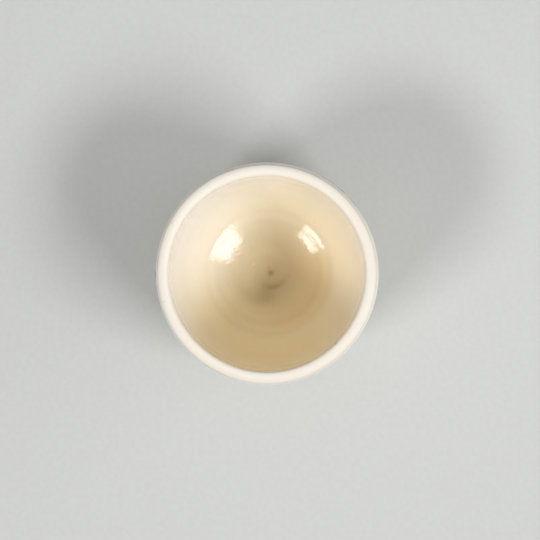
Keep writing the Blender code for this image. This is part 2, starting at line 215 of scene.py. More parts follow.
class ThrowingMarks(bpy.types.PropertyGroup):
    """What the hand, the tool and the fire leave in the clay and the glazes, and the painted shade and
    painted light that colour the liner. A spot on the floor is given by its reach and its middle beside the
    axis, and a band round the axis by its radius and half width."""

    spiral_pitch: length("Spiral pitch", "One turn of the throwing spiral in the floor", 0.0070)
    spiral_rise: length("Spiral rise", "Height of the spiral's ridge near the centre", 0.00030)
    spiral_fade: length("Spiral fade", "Radius within which the ridge stands high", 0.0105)
    spiral_left: share("Spiral left", "Share of the ridge's height that is left further out", 0.04)
    spiral_phase: share("Spiral phase", "Start of the spiral in turns", 0.736)
    pit: length("Pit", "Dent at the spiral's centre: reach and middle", (0.0011, 0.0008, -0.0005))
    pit_depth: length("Pit depth", "Depth of that dent", 0.00050)
    dimple: length("Dimple", "Small dent beside the pit: reach and middle", (0.0005, -0.0001, 0.0017))
    dimple_depth: length("Dimple depth", "Depth of the small dent", 0.00012)
    # The dents are darker partly from settled glaze and partly as painted shade
    dent_shares: share("Dent shares", "How far the pit and the dimple have darkened", (0.34, 0.16))
    # A wide darker spot on the floor: partly glaze that has run together, partly painted shade
    pool: length("Pool", "Glaze that has run together on the floor: reach and middle",
                 (0.0100, 0.0022, -0.0045))
    pool_and_shade_share: share("Pool share", "How far that glaze has darkened in its middle", 0.48)
    # Painted shade: a darker smear beside the floor's centre
    smear: length("Smear", "Darker smear between the crescents: reach and middle", (0.0038, -0.0012, -0.0074))
    smear_share: share("Smear share", "How far that smear has darkened", 0.20)
    # Dark crescents: partly glaze settled along the spiral, partly painted shade
    crescent_radii: length("Crescent radii", "Distance of the two dark crescents from the axis",
                           (0.0058, 0.0111))
    crescent_climbs: length("Crescent climbs", "Growth of each crescent's distance in one radian",
                            (0.0008, -0.0016))
    crescent_azimuths: angle("Crescent azimuths", "Middle of each dark crescent", (-62.0, -121.0))
    crescent_spans: angle("Crescent spans", "Half length of each dark crescent", (36.0, 42.0))
    crescent_widths: length("Crescent widths", "Half width of each dark crescent", (0.0009, 0.0026))
    crescent_shares: share("Crescent shares", "How far each crescent has darkened", (0.24, 0.14))
    # Painted shade: a darker band round the floor, strongest on one side
    shade: length("Film", "Darker film round the floor: radius and half width", (0.0135, 0.0070))
    shade_side: angle("Film side", "Direction in which that film is thickest", 115.0)
    shade_share: share("Film share", "How far that film has darkened on its thickest side", 0.20)
    groove_radii: length("Groove radii", "Grooves where glaze has settled, from the axis", (0.0186, 0.0224))
    groove_width: length("Groove width", "Half width of those grooves", 0.0011)
    groove_share: share("Groove share", "How far the glaze in them has darkened", 0.05)
    # Painted shade colour: one side of the floor is warmer and deeper in tone
    shade_warmth: length("Toast", "Warmer side of the floor: reach and middle", (0.0110, 0.0110, -0.0005))
    shade_warmth_share: share("Toast share", "How far the glaze has warmed there", 0.60)
    # Painted shade: a warmer, darker arc inside the floor's edge on one side
    warm: length("Warm", "Warmest arc of the floor: radius and half width", (0.0185, 0.0042))
    warm_side: angle("Warm side", "Direction of that arc", -45.0)
    warm_shares: share("Warm shares", "How far that arc has warmed and darkened", (0.45, 0.05))
    # Painted light: an arc just beyond the floor's edge that is less tan
    painted_light: length("Pale", "Pale arc beyond the warm one: radius and half width", (0.0249, 0.0016))
    painted_light_share: share("Pale share", "How much less tan the pale arc is", 0.12)
    tan_start: share("Tan start", "Share of the cup's depth at which the liner glaze starts to turn tan",
                     0.475)
    tan_reach: share("Tan reach", "Share of the cup's depth over which it turns tan", 0.58)
    # Near the floor the painted side shade fades out over this share of the depth
    even_share: share("Even share", "Share of the cup's depth above the floor in which the glaze evens out",
                      0.045)
    # Painted shade and light: the tan reaches further up on the shaded sides and less far on the lit ones
    shaded_sides: angle("Thick sides", "Sides with more glaze: of one lobe round the cup, and of two",
                       (292.0, 80.0))
    shaded_side_shares: share("Thick shares", "How much further up the tan reaches there", (0.17, 0.10))
    # The lip is duller: partly thin coat, and painted shade on its faces towards the lamps
    lip_share: share("Lip share", "How far the glaze has drawn thin over the whole lip", 0.545)
    lip_shade_share: share("Gather share", "How much further where it has slid to one side of the lip", 0.33)
    lip_shade_side: angle("Gather side", "Direction in which it has slid outward, and inward on the far side",
                       290.0)
    speck_azimuths: angle("Speck azimuths", "Direction of the large iron specks", (-44.8, 226.0))
    speck_places: length("Speck places", "Those specks outward from the lip's inner edge", (0.0004, 0.0052))
    speck_radius: length("Speck radius", "Reach of a large iron speck", 0.00035)
    ring: length("Ring", "Ring left where the floor was opened out: radius and middle",
                 (0.0216, 0.0002, -0.0011))
    ring_width: length("Ring width", "Half width of that ring", 0.0015)
    ring_rise: length("Ring rise", "Height of that ring on its low side", 0.00003)
    ring_swell: length("Ring swell", "How much higher that ring stands on its high side", 0.00017)
    ring_side: angle("Ring side", "Direction of that ring's high side", -60.0)
    finger_pitch: length("Finger pitch", "Width of a finger mark on the walls", 0.0068)
    finger_rise: length("Finger rise", "Height of a finger mark on the walls", 0.00002)
    line_pitch: length("Line pitch", "Width of the finest throwing line", 0.0011)
    line_rise: length("Line rise", "Height of the finest throwing line", 0.000002)
    trim_pitch: length("Trim pitch", "Step of the trimming tool on the bare clay", 0.0009)
    trim_rise: length("Trim rise", "Height of a trimming step", 0.00006)
    boss_rise: length("Boss rise", "Height of the boss left under the middle of the bowl", 0.0007)
    boss_reach: length("Boss reach", "Reach of that boss", 0.0022)


class EnamelSizes(bpy.types.PropertyGroup):
    """Sizes of the enamel sprigs on the outside wall."""

    azimuths: angle("Azimuths", "Direction of each sprig round the cup", (184.3, 48.0, 292.0))
    bases: length("Bases", "Foot of each twig above the belly line, along the wall",
                  (-0.0210, -0.0164, -0.0290))
    headings: angle("Headings", "Direction of each twig at its foot", (84.0, 98.0, 74.0))
    bends: length("Bends", "Radius of each twig's curve, positive to the left", (0.090, -0.080, 0.070))
    berried: BoolVectorProperty(name="Berried", description="Berries at the sprig's end, or one leaf more",
                                default=(True, False, True), size=3)
    leaf_pairs: IntProperty(name="Leaf pairs", description="Pairs of leaves on a twig", default=3, min=1)
    leaf_length: length("Leaf length", "Tip to tip", 0.0100)
    leaf_width: length("Leaf width", "Across the middle of a leaf", 0.0038)
    leaf_rise: length("Leaf rise", "Thickness of a leaf's enamel", 0.00020)
    leaf_spread: angle("Leaf spread", "Angle between a leaf and its twig", 50.0)
    leaf_sway: length("Leaf sway", "How far a leaf's midline bows", 0.0004)
    vein_width: length("Vein width", "Half width of the groove along a leaf", 0.00022)
    twig_stem: length("Twig stem", "Twig below its first leaves", 0.0050)
    twig_width: length("Twig width", "Across a twig", 0.0010)
    twig_under_leaf: length("Twig under leaf", "Twig between its last pair of leaves and the leaf at its end",
                            0.0030)
    twig_under_berry: length("Twig under berry", "Twig between its side berries and the berry at its end",
                             0.0040)
    twig_swell: length("Twig swell", "Reach of the swelling where leaves stand", 0.0008)
    berry_radius: length("Berry radius", "Half width of a berry", 0.0016)
    berry_rise: length("Berry rise", "Thickness of a berry's enamel", 0.00042)
    clearance: length("Clearance", "Bare glaze between two dabs", 0.0012)
    sink: length("Sink", "How far a dab has fused into the glaze", 0.00006)


class Finishes(bpy.types.PropertyGroup):
    """Colours of the clay, the glazes and the enamels, in linear light."""

    clay: colour("Clay", "Bare stoneware", (0.50, 0.38, 0.26))
    # Darker clay for its specks, and painted shade in the trimming grooves
    dark_clay_and_groove_shade: colour("Dark clay", "Iron-rich clay in the trimming lines", (0.33, 0.22, 0.13))
    cream: colour("Cream glaze", "Liner glaze high on the wall, where it is thin", (0.925, 0.91, 0.885))
    # Reached deep in the cup, and as painted shade higher up on the shaded sides
    tan: colour("Tan glaze", "Liner glaze on the floor, where it is thick", (0.945, 0.775, 0.47))
    # Painted shade colour for the warmer side and arc of the floor
    shade_warmed_glaze: colour("Toasted glaze", "Liner glaze where the fire has warmed it", (0.94, 0.69, 0.36))
    # Glaze that has run together, and painted shade on the floor
    pooled_and_shaded_glaze: colour("Pooled glaze", "Liner glaze where it has run together", (0.36, 0.25, 0.11))
    ivory: colour("Ivory glaze", "Outer glaze on the wall", (0.88, 0.845, 0.745))
    # Partly thin coat over the lip, partly painted shade on the lip's faces towards the lamps
    ivory_lip_and_shade: colour("Ivory lip", "Outer glaze where it has drawn thin over the lip", (0.6635, 0.603, 0.530))
    ivory_thick: colour("Thick ivory glaze", "Outer glaze where it is thick", (0.78, 0.78, 0.69))
    breaking: colour("Breaking glaze", "Glaze so thin on an edge that the clay warms it", (0.74, 0.60, 0.46))
    iron: colour("Iron", "Iron specks in the glazes", (0.10, 0.06, 0.035))
    leaf: colour("Leaf enamel", "Green of the leaves", (0.050, 0.075, 0.036))
    leaf_thin: colour("Thin leaf enamel", "Green where the brush left little", (0.16, 0.19, 0.10))
    twig: colour("Twig enamel", "Brown of the twigs", (0.060, 0.040, 0.025))
    twig_thin: colour("Thin twig enamel", "Brown where the brush left little", (0.17, 0.11, 0.07))
    berry: colour("Berry enamel", "Red of the berries", (0.55, 0.09, 0.03))
    berry_thin: colour("Thin berry enamel", "Red where the brush left little", (0.70, 0.21, 0.08))
    table: colour("Table", "Pale grey of the table", (0.560, 0.568, 0.554))


class Studio(bpy.types.PropertyGroup):
    """Camera, lamps and table. A row has the near softbox, the far softbox and the low white card."""

    lens: setting("Lens", "Focal length on the camera's sensor", 140.0, unit="CAMERA")
    camera_place: length("Camera place", "Where the camera hangs over the cup", (0.0096, 0.0058, 0.778))
    camera_aim: length("Camera aim", "Point in the middle of the picture", (0.00127, 0.00127, 0.078))
    lamp_azimuths: angle("Lamp azimuths", "Direction of each lamp round the cup", (-34.2, 217.6, 0.0))
    lamp_distances: length("Lamp distances", "Each lamp from the cup's axis", (0.425, 3.000, 0.80))
    lamp_heights: length("Lamp heights", "Middle of each lamp above the table", (0.722, 4.06, 0.45))
    lamp_widths: length("Lamp widths", "Each lamp from side to side", (0.285, 1.300, 0.80))
    lamp_uprights: length("Lamp uprights", "Each lamp from its lower to its upper edge", (0.335, 1.450, 0.80))
    lamp_powers: setting("Lamp powers", "Light of each lamp", (6.1, 149.0, 2.0), unit="POWER")
    room_light: share("Room light", "Brightness of the room that the cup stands in", 0.380)
    room_seen: share("Room seen", "Brightness of the room behind the table, as the camera sees it", 0.62)
    table_radius: length("Table radius", "Reach of the table round the cup", 3.0)


# Small formulas

def held(value):
    """A value held between 0 and 1."""
    return np.clip(value, 0.0, 1.0)


def bell(offset, reach):
    """A bell-shaped share: 1 in the middle, and about a third at the reach."""
    return np.exp(-(offset / reach) ** 2)


def raised(turn):
    """A raised cosine: 1 at no turn, and 0 at half a turn."""
    return 0.5 + 0.5 * np.cos(turn)


def one_sided(azimuth, side):
    """A share that is 1 in one direction and dies out round the cup: a raised cosine to the fourth power."""
    return raised(azimuth - side) ** 4


def turn_between(azimuth, middle):
    """Signed angle from a middle direction, between half a turn to either side."""
    return np.mod(azimuth - middle + math.pi, 2 * math.pi) - math.pi


# The section of the cup

def direction(heading):
    """Flat unit vector of a heading."""
    return np.array((math.cos(heading), math.sin(heading)))


def cubic(start, start_handle, end_handle, end):
    """Points of a cubic curve: its two ends and their handles, weighted by the four cubic shares."""
    t = np.linspace(0.0, 1.0, CURVE_STEPS)[:, None]
    corners = [np.array(corner) for corner in (start, start_handle, end_handle, end)]
    weights = ((1 - t) ** 3, 3 * t * (1 - t) ** 2, 3 * t ** 2 * (1 - t), t ** 3)
    return sum(weight * corner for weight, corner in zip(weights, corners))


def arc(centre, across, up, first, last, count=CURVE_STEPS):
    """Points of an elliptic arc between two angles, from the half axes of its ellipse."""
    turn = np.linspace(first, last, count)
    return np.column_stack((centre[0] + across * np.cos(turn), centre[1] + up * np.sin(turn)))


def section_stretches(sizes):
    """Floor, lower and upper inside wall, lip, upper and lower outside wall as (radius, height) points.
    The floor and the lip are arcs, and the walls are cubic curves that leave and meet them in line."""
    floor_height = sizes.underside + sizes.floor_thickness
    floor_curve = (sizes.floor_edge_radius ** 2 + sizes.floor_edge_rise ** 2) / (2 * sizes.floor_edge_rise)
    floor_sweep = math.asin(sizes.floor_edge_radius / floor_curve)
    floor = arc((0.0, floor_height + floor_curve), floor_curve, floor_curve,
                -math.pi / 2, -math.pi / 2 + floor_sweep)

    half_lip = sizes.lip_thickness / 2
    lip_end = math.atan(sizes.lip_rounding / half_lip * math.tan(sizes.lip_lean))
    lip_middle = (sizes.mouth_radius - half_lip, sizes.height - sizes.lip_rounding)
    lip = arc(lip_middle, half_lip, sizes.lip_rounding, math.pi + lip_end, lip_end)

    edge = floor[-1]
    belly_inside = np.array((sizes.belly_radius - sizes.belly_wall, sizes.belly_height))
    belly_outside = np.array((sizes.belly_radius, sizes.belly_height))
    hip = np.array((sizes.hip_radius, sizes.underside))
    out_of_floor = sizes.inside_outward * (belly_inside[0] - edge[0]) * direction(sizes.floor_edge_angle)
    out_of_foot = sizes.outside_outward * (belly_outside[0] - hip[0]) * direction(sizes.hip_angle)
    inside_drop = np.array((0.0, sizes.inside_upward * (sizes.belly_height - edge[1])))
    outside_drop = np.array((0.0, sizes.outside_upward * (sizes.belly_height - sizes.underside)))
    neck = sizes.neck_upward * (sizes.height - sizes.belly_height)
    neck_rise = np.array((0.0, neck))
    neck_lean = neck * np.array((-math.sin(sizes.lip_lean), math.cos(sizes.lip_lean)))
    lower_inside = cubic(edge, edge + out_of_floor, belly_inside - inside_drop, belly_inside)
    upper_inside = cubic(belly_inside, belly_inside + neck_rise, lip[0] - neck_lean, lip[0])
    upper_outside = cubic(lip[-1], lip[-1] - neck_lean, belly_outside + neck_rise, belly_outside)
    lower_outside = cubic(belly_outside, belly_outside - outside_drop, hip + out_of_foot, hip)
    return floor, lower_inside, upper_inside, lip, upper_outside, lower_outside


class Section:
    """The finished surface in one radial plane, from the floor's centre, up the inside, over the lip and
    down the outside to the hip, as evenly spaced (radius, height) points with outward normals."""

    def __init__(self, sizes):
        stretches = section_stretches(sizes)
        points = np.vstack([stretches[0]] + [stretch[1:] for stretch in stretches[1:]])
        distance = np.concatenate(([0.0], np.cumsum(np.linalg.norm(np.diff(points, axis=0), axis=1))))
        ends = [distance[(i + 1) * (CURVE_STEPS - 1)] for i in range(len(stretches))]
        self.floor_edge, _, self.lip_inside, self.lip_outside, self.belly, self.hip = ends
        self.distance = np.linspace(0.0, self.hip, round(self.hip / SECTION_STEP))
        self.points = np.column_stack([np.interp(self.distance, distance, points[:, i]) for i in (0, 1)])
        self.round_floor_edge(sizes.floor_edge_softness)
        tangents = np.gradient(self.points, self.distance, axis=0)
        self.normals = np.column_stack((-tangents[:, 1], tangents[:, 0]))
        self.normals /= np.linalg.norm(self.normals, axis=1)[:, None]
        self.normals[0] = (0.0, 1.0)
        outside = self.distance > self.belly
        self.glaze_line = np.interp(-sizes.glaze_line, -self.points[outside, 1], self.distance[outside])

    def round_floor_edge(self, reach):
        """Rounds the crease at the floor's edge: near it each point gives way to the mean of its
        neighbours within the reach, by a share that falls with the fourth power."""
        count = round(reach / SECTION_STEP)
        window = np.hanning(2 * count + 3)[1:-1]
        window /= window.sum()
        near = np.exp(-((self.distance - self.floor_edge) / (ROUNDING_SPREAD * reach)) ** 4)
        for i in (0, 1):
            mean = np.convolve(np.pad(self.points[:, i], count, mode="edge"), window, mode="valid")
            self.points[:, i] += near * (mean - self.points[:, i])

    def at(self, distance, lift=0.0):
        """Radius and height at distances along the section, lifted off the finished surface."""
        points = [np.interp(distance, self.distance, self.points[:, i]) for i in (0, 1)]
        normals = [np.interp(distance, self.distance, self.normals[:, i]) for i in (0, 1)]
        return points[0] + lift * normals[0], points[1] + lift * normals[1]


# Marks of the hand

def waves(distance, azimuth, pitch, count, spread, seed):
    """Smooth uneven rings, between about -1 and 1: a sum of cosines across the section, each with a pitch
    of its own near the given one, a phase of its own and a slow climb of whole turns round the cup."""
    draw = np.random.default_rng(seed)
    pitches = pitch * (1 + spread * draw.uniform(-1.0, 1.0, count))
    phases = draw.uniform(0.0, 1.0, count)
    climbs = draw.integers(-1, 3, count)
    turns = (distance[..., None] / pitches + azimuth[..., None] / (2 * math.pi) * climbs + phases)
    return np.cos(2 * math.pi * turns).sum(axis=-1) / math.sqrt(count)


def throwing_marks(distance, azimuth, marks, seed):
    """Heights of the finger marks and of the finest throwing lines, each a sum of uneven rings."""
    fingers = marks.finger_rise * waves(distance, azimuth, marks.finger_pitch, *FINGER_WAVES, seed)
    lines = marks.line_rise * waves(distance, azimuth, marks.line_pitch, *LINE_WAVES, seed + 1)
    return fingers, lines


def trim_steps(travelled, azimuth, marks):
    """Turned spiral of the trimming tool, from 0 to 1: a cosine across one step that climbs a step a turn."""
    return raised(2 * math.pi * (travelled / marks.trim_pitch + azimuth / (2 * math.pi)))


def floor_spiral(radius, azimuth, sizes, marks):
    """Height of the throwing spiral: a cosine ridge across one pitch of a spiral that winds out against the
    clock. It grows from nothing at the centre, sinks to a share of its height further out and dies out
    just beyond the floor's edge."""
    turns = radius / marks.spiral_pitch - azimuth / (2 * math.pi) - marks.spiral_phase
    grown = np.minimum(1.0, 2 * radius / marks.spiral_pitch)
    fallen = marks.spiral_left + (1 - marks.spiral_left) * np.exp(-(radius / marks.spiral_fade) ** 4)
    ended = held((sizes.floor_edge_radius - radius) / marks.spiral_pitch + 0.5)
    return marks.spiral_rise * raised(2 * math.pi * turns) * grown * fallen * ended


def out_of_round(azimuth, height, sizes):
    """Small change of radius of a hand-thrown cup: cosine lobes round it that grow with the height."""
    lobes = sum(weight * np.cos(count * azimuth + phase) for count, weight, phase in LOBES)
    return sizes.oval * lobes * held(height / sizes.height)


def place_round(radius, height, azimuth, sizes):
    """Turns (radius, height, azimuth) arrays into points of the hand-thrown cup."""
    true_radius = radius * (1 + out_of_round(azimuth, height, sizes) / sizes.belly_radius)
    return np.stack((true_radius * np.cos(azimuth), true_radius * np.sin(azimuth),
                     np.broadcast_to(height, true_radius.shape)), axis=-1)


# Meshes from grids

def grid_faces(rows, columns, wrap_rows):
    """Corner numbers of the quads between neighbouring rows and columns, where the columns close on
    themselves and the rows may."""
    last = rows if wrap_rows else rows - 1
    row, column = np.meshgrid(np.arange(last), np.arange(columns), indexing="ij")
    following_row = (row + 1) % rows
    following_column = (column + 1) % columns
    corners = (row * columns + column, following_row * columns + column,
               following_row * columns + following_column, row * columns + following_column)
    return np.stack([corner.ravel() for corner in corners], axis=1)


def closed_surface(name, points, values, wrap_rows=False):
    """A closed mesh from a grid of points whose columns close on themselves. Its first and last rows are
    poles, kept as one point each, unless the rows close too. The values are attributes of the points."""
    rows, columns = points.shape[:2]
    if wrap_rows:
        spots = points.reshape(-1, 3)
        faces = grid_faces(rows, columns, True).tolist()
        kept = np.arange(rows * columns)
    else:
        inner = grid_faces(rows - 2, columns, False)
        first, last = (rows - 2) * columns, (rows - 2) * columns + 1
        column = np.arange(columns)
        following = (column + 1) % columns
        fan_start = np.stack((np.full(columns, first), column, following), axis=1)
        end = (rows - 3) * columns
        fan_end = np.stack((np.full(columns, last), end + following, end + column), axis=1)
        spots = np.vstack((points[1:-1].reshape(-1, 3), points[0, :1], points[-1, :1]))
        faces = inner.tolist() + fan_start.tolist() + fan_end.tolist()
        kept = np.concatenate((np.arange(columns, (rows - 1) * columns), [0, (rows - 1) * columns]))
    mesh = bpy.data.meshes.new(name)
    mesh.from_pydata(spots.tolist(), [], faces)
    for word, value in values.items():
        layer = mesh.attributes.new(word, "FLOAT", "POINT")
        numbers = np.broadcast_to(value, (rows, columns)).ravel()[kept]
        layer.data.foreach_set("value", numbers.astype(np.float32))
    mesh.shade_smooth()
    mesh.validate()
    return mesh


def coat_mesh(name, section, sizes, distance, relief, values, wrap_rows=False):
    """A closed coat of glaze: its face at distances along the section, lifted by its relief, and its back one
    coat down. The values are attributes of the face and are nothing on the back."""
    azimuth = columns_round()
    back = np.linspace(distance[-1, 0], distance[0, 0], BACK_ROWS)[:, None]
    sides = zip(section.at(distance, relief), section.at(back, -sizes.glaze))
    turned, level = [np.vstack((face, hidden + 0 * azimuth)) for face, hidden in sides]
    if not wrap_rows:
        turned[[0, -1]] = 0.0
        level[0] = level[0].mean()
    points = place_round(turned, level, azimuth, sizes)
    nothing = np.zeros((BACK_ROWS, AROUND))
    values = {word: np.vstack((value + 0 * azimuth, nothing)) for word, value in values.items()}
    return closed_surface(name, points, values, wrap_rows)


def add_piece(name, mesh, material, node):
    """Puts a finished mesh into the scene for the CAD node that it stands for."""
    mesh.materials.append(material)
    piece = bpy.data.objects.new(name, mesh)
    bpy.context.scene.collection.objects.link(piece)
    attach(piece, "root")
    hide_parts(node)


def columns_round():
    """Azimuths of the columns of a turned piece."""
    return np.linspace(0.0, 2 * math.pi, AROUND, endpoint=False)[None, :]


def rows_between(first, last, step):
    """Evenly spaced distances from the first to the last, about one step apart."""
    return np.linspace(first, last, max(2, round(abs(last - first) / step) + 1))


# Materials

def add_node(tree, kind, inputs=None, **settings):
    """Adds a shader node, sets its options and fills its inputs with values or with other nodes' sockets."""
    node = tree.nodes.new(kind)
    for option, value in settings.items():
        setattr(node, option, value)
    for socket, value in (inputs or {}).items():
        if isinstance(value, bpy.types.NodeSocket):
            tree.links.new(value, node.inputs[socket])
        else:
            node.inputs[socket].default_value = value
    return node


def new_material(name):
    """A new material, its nodes and its shader, and the point on the piece that its patterns read."""
    material = bpy.data.materials.new(name)
    material.use_nodes = True
    tree = material.node_tree
    place = add_node(tree, "ShaderNodeTexCoord").outputs["Object"]
    return material, tree, tree.nodes["Principled BSDF"], place


def noise(tree, place, scale, detail=2.0, roughness=0.5):
    """Cloudy noise between 0 and 1 with so many clouds to a metre."""
    inputs = {"Vector": place, "Scale": scale, "Detail": detail, "Roughness": roughness}
    return add_node(tree, "ShaderNodeTexNoise", inputs).outputs["Fac"]


def ranged(tree, value, low, high, to_low, to_high):
    """A value stretched from one range to another and held inside it."""
    inputs = {"Value": value, "From Min": low, "From Max": high, "To Min": to_low, "To Max": to_high}
    return add_node(tree, "ShaderNodeMapRange", inputs, interpolation_type="SMOOTHSTEP").outputs["Result"]


def blended(tree, factor, first, second):
    """Two colours mixed by a factor, each either a colour or a socket."""
    colours = [part if isinstance(part, bpy.types.NodeSocket) else (*part, 1.0) for part in (first, second)]
    inputs = dict(zip(MIX_INPUTS, (factor, *colours)))
    return add_node(tree, "ShaderNodeMix", inputs, data_type="RGBA").outputs[MIX_OUTPUT]


def layered(tree, body, layers):
    """A colour with others laid over it, each by a value that the mesh carries on its points."""
    for word, over in layers:
        value = add_node(tree, "ShaderNodeAttribute", attribute_name=word).outputs["Fac"]
        body = blended(tree, value, body, over)
    return body


def clouded(tree, place, body, other, scale, detail, start, end, amount=1.0):
    """A colour with clouds of another, which start at one value of the noise and are full at the next."""
    clouds = ranged(tree, noise(tree, place, scale, detail), start, end, 0.0, amount)
    return blended(tree, clouds, body, other)


def tinted(tree, place, base, amount):
    """A colour that drifts a little warmer and cooler from place to place."""
    warm = [min(1.0, base[0] * (1 + amount)), base[1], base[2] * (1 - amount)]
    cool = [base[0] * (1 - amount), base[1], min(1.0, base[2] * (1 + 0.5 * amount))]
    return clouded(tree, place, warm, cool, scale=55.0, detail=2.0, start=0.35, end=0.65)


def dress(tree, shader, place, body, gloss_scale, roughness, reliefs):
    """Links a colour to a shader, with a roughness that drifts in clouds between two values, and with layers
    of small relief, each given by its height in metres and by the scale and detail of its noise."""
    tree.links.new(body, shader.inputs["Base Color"])
    drift = ranged(tree, noise(tree, place, gloss_scale), *NOISE_RANGE, *roughness)
    tree.links.new(drift, shader.inputs["Roughness"])
    below = {}
    for height, *clouds in reliefs:
        inputs = {"Height": noise(tree, place, *clouds), "Distance": height, "Strength": 1.0, **below}
        below = {"Normal": add_node(tree, "ShaderNodeBump", inputs).outputs["Normal"]}
    tree.links.new(below["Normal"], shader.inputs["Normal"])


def make_glassy(shader, specular):
    """Gives a shader the shine of a glaze."""
    shader.inputs["Specular IOR Level"].default_value = specular
    shader.inputs["IOR"].default_value = GLAZE_IOR


def inner_glaze_material(finishes):
    """Glossy liner glaze: cream where it is thin, tan where it is thick, darker where glaze has run together,
    and warmed where it breaks; painted shade makes it tanner, warmer and darker in places, and painted light
    makes an arc less tan."""
    material, tree, shader, place = new_material("cream_glaze_finish")
    # Painted shade and light: the depth layer carries tanner shaded sides and a lit arc, and the warmth and
    # darkening layers carry painted shade on the floor as well as settled glaze
    layers = (("depth", finishes.tan), ("shade_warmth", finishes.shade_warmed_glaze), ("pool", finishes.pooled_and_shaded_glaze),
              ("thin", finishes.breaking))
    body = layered(tree, tinted(tree, place, finishes.cream, 0.015), layers)
    specked = clouded(tree, place, body, finishes.iron, scale=1400.0, detail=1.0, start=0.70, end=0.78,
                      amount=0.10)
    dress(tree, shader, place, specked, gloss_scale=130.0, roughness=(0.09, 0.15),
          reliefs=((0.00006, 190.0, 1.0), (0.00004, 800.0, 1.0)))
    make_glassy(shader, specular=0.25)
    return material


def outer_glaze_material(finishes):
    """Satin ivory glaze, duller over the lip, partly where it has drawn thin and partly as painted shade on
    the lip's faces towards the lamps, greener where it is thick and warmer where it breaks, with faint iron
    specks."""
    material, tree, shader, place = new_material("ivory_glaze_finish")
    # The lip layer is partly thin coat and partly painted shade on the lip's faces towards the lamps
    layers = (("lip", finishes.ivory_lip_and_shade), ("pool", finishes.ivory_thick), ("thin", finishes.breaking))
    body = layered(tree, tinted(tree, place, finishes.ivory, 0.02), layers)
    specked = clouded(tree, place, body, finishes.iron, scale=1100.0, detail=1.0, start=0.72, end=0.80,
                      amount=0.25)
    dress(tree, shader, place, layered(tree, specked, (("speck", finishes.iron),)), gloss_scale=110.0,
          roughness=(0.40, 0.50), reliefs=((0.00008, 170.0, 1.0), (0.000008, 800.0, 1.0)))
    make_glassy(shader, specular=0.2)
    return material


def clay_material(name, finishes):
    """Bare stoneware: sandy, matt and speckled, with painted shade in the grooves of its trimming lines."""
    material, tree, shader, place = new_material(name)
    # Painted shade in the trimming grooves, then darker specks of clay
    lined = layered(tree, tinted(tree, place, finishes.clay, 0.05), (("pool", finishes.dark_clay_and_groove_shade),))
    specked = clouded(tree, place, lined, finishes.dark_clay_and_groove_shade, scale=1500.0, detail=2.0, start=0.62, end=0.72,
                      amount=0.6)
    dress(tree, shader, place, specked, gloss_scale=400.0, roughness=(0.72, 0.9),
          reliefs=((0.00005, 2600.0, 3.0, 0.65),))
    return material


def enamel_material(name, full, thin):
    """Glossy brushed enamel, paler where the brush left little."""
    material, tree, shader, place = new_material(name)
    brushed = clouded(tree, place, full, thin, scale=700.0, detail=3.0, start=0.3, end=0.75, amount=0.45)
    dress(tree, shader, place, layered(tree, brushed, (("thin", thin),)), gloss_scale=500.0,
          roughness=(0.16, 0.30), reliefs=((0.00002, 1500.0, 2.0),))
    return material


def table_material(finishes):
    """Pale grey matt table with a faint grain."""
    material, tree, shader, place = new_material("table_finish")
    darker = [TABLE_GRAIN * part for part in finishes.table]
    grained = clouded(tree, place, darker, finishes.table, scale=500.0, detail=3.0, start=0.3, end=0.7)
    tree.links.new(grained, shader.inputs["Base Color"])
    shader.inputs["Roughness"].default_value = TABLE_ROUGHNESS
    return material


# The clay and the glazes

def edge_thinning(distance, edge, reach):
    """From 1 at an edge of a coat to 0 at the reach inside it, in a smooth fall."""
    inside = held(np.abs(distance - edge) / reach)
    return (1 - inside) ** 2 * (1 + 2 * inside)


def build_thrown_bowl(sizes, marks, finishes):
    """The clay under both coats: the section one coat down, the hip, and the trimmed underside with a
    turned spiral that is a cosine across one step of the trimming tool, and a bell-shaped boss."""
    section = Section(sizes)
    azimuth = columns_round()
    bare_edge = section.glaze_line - TRIM_START
    skin = np.concatenate((rows_between(0.0, bare_edge, HIDDEN_STEP),
                           rows_between(bare_edge, section.hip, TRIM_STEP)[1:]))
    radius, height = section.at(skin, -sizes.glaze)
    under = np.linspace(radius[-1], 0.0, UNDERSIDE_ROWS)[1:]
    turned = np.concatenate((radius, under))[:, None]
    level = np.concatenate((height, np.full(len(under), sizes.underside)))[:, None]
    travelled = np.concatenate((skin, skin[-1] + radius[-1] - under))[:, None]
    on_wall = (np.arange(len(turned)) < len(skin))[:, None]
    bare = held((travelled - bare_edge) / TRIM_START)
    steps = trim_steps(travelled, azimuth, marks)
    come_and_go = waves(travelled, azimuth, TRIM_LONG * marks.trim_pitch, *TRIM_WAVES, SEED)
    uneven = 1 - TRIM_UNEVEN + TRIM_UNEVEN * come_and_go
    relief = -marks.trim_rise * steps * uneven * bare * held(turned / TRIM_CALM)
    turned = turned + np.where(on_wall, relief, 0.0)
    boss = marks.boss_rise * bell(turned, marks.boss_reach)
    level = level - np.where(on_wall, 0.0, relief + boss)
    turned[[0, -1]] = 0.0
    points = place_round(turned, level, azimuth, sizes)
    # Painted shade: the trimming grooves are coloured darker
    mesh = closed_surface("thrown_bowl_clay", points, {"pool": BOWL_GROOVE_SHADE * steps * bare})
    material = clay_material("stoneware_bowl_finish", finishes)
    add_piece("bowl_clay", mesh, material, "thrown_bowl")


